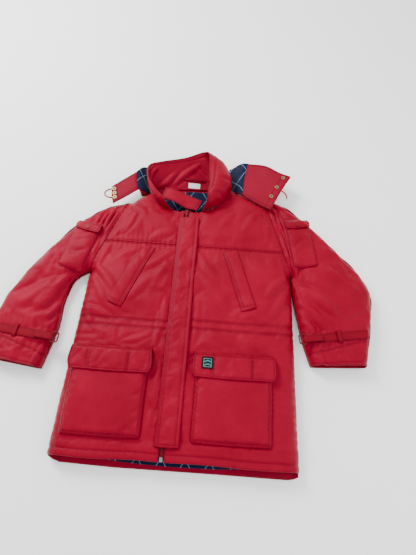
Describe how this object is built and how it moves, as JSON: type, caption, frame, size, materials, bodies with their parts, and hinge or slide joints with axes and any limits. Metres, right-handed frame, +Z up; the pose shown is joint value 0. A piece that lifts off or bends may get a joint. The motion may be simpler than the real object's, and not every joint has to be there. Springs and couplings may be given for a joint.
{
  "type": "foul weather jacket",
  "caption": "Padded hooded foul weather jacket with a storm flap over the zip, cargo and sleeve pockets, strapped cuffs and a hood thrown back.",
  "frame": {"origin": "on the back panel's outer face, on its centre line at chest height, where the jacket rests on its back", "axes": "+Z up through the jacket from its back to its front, +Y from the hem to the collar, +X to the wearer's left"},
  "size_m": [1.085, 0.988, 0.098],
  "materials": {
    "shell_cloth": "satin-woven red outer cloth, padded",
    "facing_cloth": "duller red facing cloth",
    "lining_cloth": "navy quilted lining with thin pale diamond lines",
    "webbing": "red woven strap",
    "zip_tape": "woven zip tape",
    "zip_moulding": "moulded red zip teeth and box",
    "zip_metal": "red lacquered die-cast slider and pull",
    "ring_moulding": "moulded red D-ring",
    "eyelet_metal": "worn nickel-plated brass",
    "snap_metal": "red lacquered snap cap",
    "label_cloth": "plain white woven label",
    "badge_patch": "plain dark moulded patch with a simple wave",
    "touch_tape": "hook and loop tape",
    "cord": "braided red cord"
  },
  "bodies": {
    "jacket_body": {"back_panel": "shell_cloth", "front_panel_right": "shell_cloth", "front_panel_left": "shell_cloth", "front_yoke_right": "shell_cloth", "front_yoke_left": "shell_cloth", "cargo_pocket_right": "shell_cloth", "cargo_pocket_left": "shell_cloth", "chest_welts": "shell_cloth", "collar": "shell_cloth", "hood_shell": "shell_cloth", "sleeve_cap_right": "shell_cloth", "sleeve_cap_left": "shell_cloth", "inner_wind_flap": "shell_cloth", "hem_facing": "facing_cloth", "back_lining": "lining_cloth", "front_lining_right": "lining_cloth", "front_lining_left": "lining_cloth", "hood_lining": "lining_cloth", "chest_pocket_bags": "lining_cloth", "hanger_loop": "webbing", "zip_tapes": "zip_tape", "zip_teeth": "zip_moulding", "zip_bottom_box": "zip_moulding", "neck_label": "label_cloth", "storm_flap_loop_tape": "touch_tape"},
    "zip_slider": {"zip_slider": "zip_metal"},
    "zip_pull": {"zip_pull": "zip_metal"},
    "storm_flap": {"storm_flap": "shell_cloth", "storm_flap_hook_tape": "touch_tape"},
    "cargo_flap_right": {"cargo_flap_right": "shell_cloth"},
    "cargo_flap_left": {"cargo_flap_left": "shell_cloth", "flap_badge": "badge_patch"},
    "hood_ends": {"hood_facing_right": "facing_cloth", "hood_facing_left": "facing_cloth", "hood_eyelets": "eyelet_metal", "hood_cord_right": "cord", "hood_cord_left": "cord"},
    "sleeve_right": {"sleeve_upper_right": "shell_cloth", "sleeve_under_right": "shell_cloth", "sleeve_lining_right": "lining_cloth", "sleeve_pocket_right": "shell_cloth", "sleeve_stud_right": "snap_metal", "cuff_strap_right": "webbing", "cuff_keeper_right": "webbing", "cuff_tab_right": "webbing"},
    "sleeve_flap_right": {"sleeve_flap_right": "shell_cloth", "sleeve_snap_right": "snap_metal"},
    "cuff_ring_right": {"cuff_ring_right": "ring_moulding"},
    "sleeve_left": {"sleeve_upper_left": "shell_cloth", "sleeve_under_left": "shell_cloth", "sleeve_lining_left": "lining_cloth", "sleeve_pocket_left": "shell_cloth", "sleeve_stud_left": "snap_metal", "cuff_strap_left": "webbing", "cuff_keeper_left": "webbing", "cuff_tab_left": "webbing"},
    "sleeve_flap_left": {"sleeve_flap_left": "shell_cloth", "sleeve_snap_left": "snap_metal"},
    "cuff_ring_left": {"cuff_ring_left": "ring_moulding"}
  },
  "joints": [
    {"name": "zip_slide", "type": "slide", "parent": "jacket_body", "child": "zip_slider", "axis": [0, -1, 0], "range_m": [0, 0.712]},
    {"name": "zip_pull_turn", "type": "hinge", "parent": "zip_slider", "child": "zip_pull", "pos_m": [-0.03, 0.224, 0.0468], "axis": [-1, 0, 0], "range_deg": [0, 170]},
    {"name": "storm_flap_open", "type": "hinge", "parent": "jacket_body", "child": "storm_flap", "pos_m": [-0.051, 0, 0.0483], "axis": [0, -1, 0], "range_deg": [0, 110]},
    {"name": "hood_lift", "type": "hinge", "parent": "jacket_body", "child": "hood_ends", "pos_m": [0, 0.238, 0.062], "axis": [1, 0, 0], "range_deg": [0, 70], "deforming": ["hood_lining", "hood_shell"]},
    {"name": "cargo_flap_right_open", "type": "hinge", "parent": "jacket_body", "child": "cargo_flap_right", "pos_m": [-0.192, -0.228, 0.0483], "axis": [-1, 0, 0], "range_deg": [0, 120]},
    {"name": "cargo_flap_left_open", "type": "hinge", "parent": "jacket_body", "child": "cargo_flap_left", "pos_m": [0.142, -0.228, 0.0483], "axis": [-1, 0, 0], "range_deg": [0, 120]},
    {"name": "sleeve_right_swing", "type": "hinge", "parent": "jacket_body", "child": "sleeve_right", "pos_m": [-0.218, 0.256, 0.023], "axis": [0, 0, -1], "range_deg": [0, 18], "deforming": ["sleeve_cap_right"]},
    {"name": "sleeve_left_swing", "type": "hinge", "parent": "jacket_body", "child": "sleeve_left", "pos_m": [0.212, 0.304, 0.023], "axis": [0, 0, 1], "range_deg": [0, 18], "deforming": ["sleeve_cap_left"]},
    {"name": "sleeve_flap_right_open", "type": "hinge", "parent": "sleeve_right", "child": "sleeve_flap_right", "pos_m": [-0.32333, 0.15992, 0.0476], "axis": [-0.9744, 0.225, 0], "range_deg": [0, 110]},
    {"name": "sleeve_flap_left_open", "type": "hinge", "parent": "sleeve_left", "child": "sleeve_flap_left", "pos_m": [0.31748, 0.22495, 0.0476], "axis": [-0.9848, -0.1736, 0], "range_deg": [0, 110]},
    {"name": "cuff_ring_right_turn", "type": "hinge", "parent": "sleeve_right", "child": "cuff_ring_right", "pos_m": [-0.36203, -0.21645, 0.0518], "axis": [-0.1135, -0.9935, 0], "range_deg": [0, 110]},
    {"name": "cuff_ring_left_turn", "type": "hinge", "parent": "sleeve_left", "child": "cuff_ring_left", "pos_m": [0.33705, -0.16966, 0.0518], "axis": [-0.1644, 0.9864, 0], "range_deg": [0, 110]}
  ]
}
